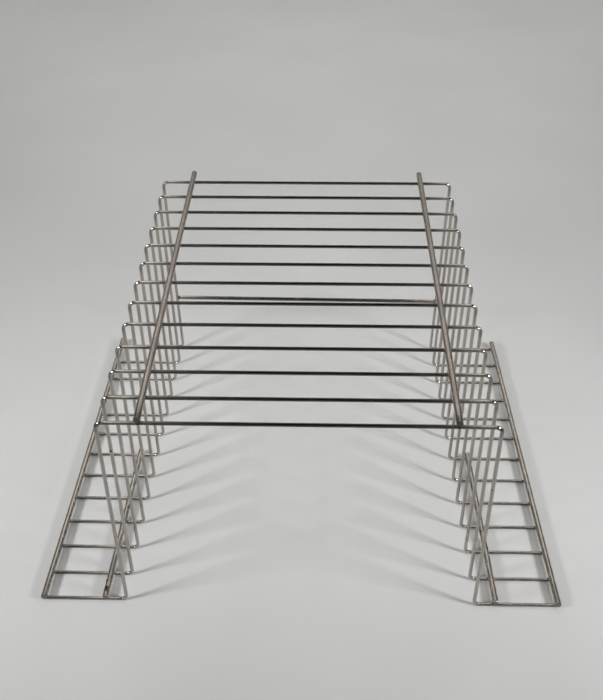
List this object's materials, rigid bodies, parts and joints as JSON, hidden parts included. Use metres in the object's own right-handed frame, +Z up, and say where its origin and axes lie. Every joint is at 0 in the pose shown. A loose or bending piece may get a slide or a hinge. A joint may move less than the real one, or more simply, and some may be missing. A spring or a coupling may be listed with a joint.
{
  "type": "welded wire rack",
  "caption": "Plated wire rack: bent cross wires on turned-out feet, joined by straight welded rods, with a crossbar between the rear legs.",
  "frame": {"origin": "on the surface that the rack stands on, under the middle of its bounding box", "axes": "+X to the right along the cross wires, +Y to the rear along the rods (the crossbar is at the rear), +Z up"},
  "size_m": [0.5972, 0.4725, 0.2985],
  "materials": {
    "wire": "bright plated drawn wire, worn, with dark specks at bends and welds",
    "rod": "plated rod with a duller, brushed-looking surface",
    "weld": "rough heat-darkened resistance weld under plating"
  },
  "bodies": {
    "root": {"cross_wire_1": "wire", "cross_wire_2": "wire", "cross_wire_3": "wire", "cross_wire_4": "wire", "cross_wire_5": "wire", "cross_wire_6": "wire", "cross_wire_7": "wire", "cross_wire_8": "wire", "cross_wire_9": "wire", "cross_wire_10": "wire", "cross_wire_11": "wire", "cross_wire_12": "wire", "cross_wire_13": "wire", "top_rod_left": "rod", "top_rod_right": "rod", "foot_rod_left": "rod", "foot_rod_right": "rod", "inner_rod_left": "rod", "inner_rod_right": "rod", "rear_crossbar": "rod"}
  },
  "joints": []
}
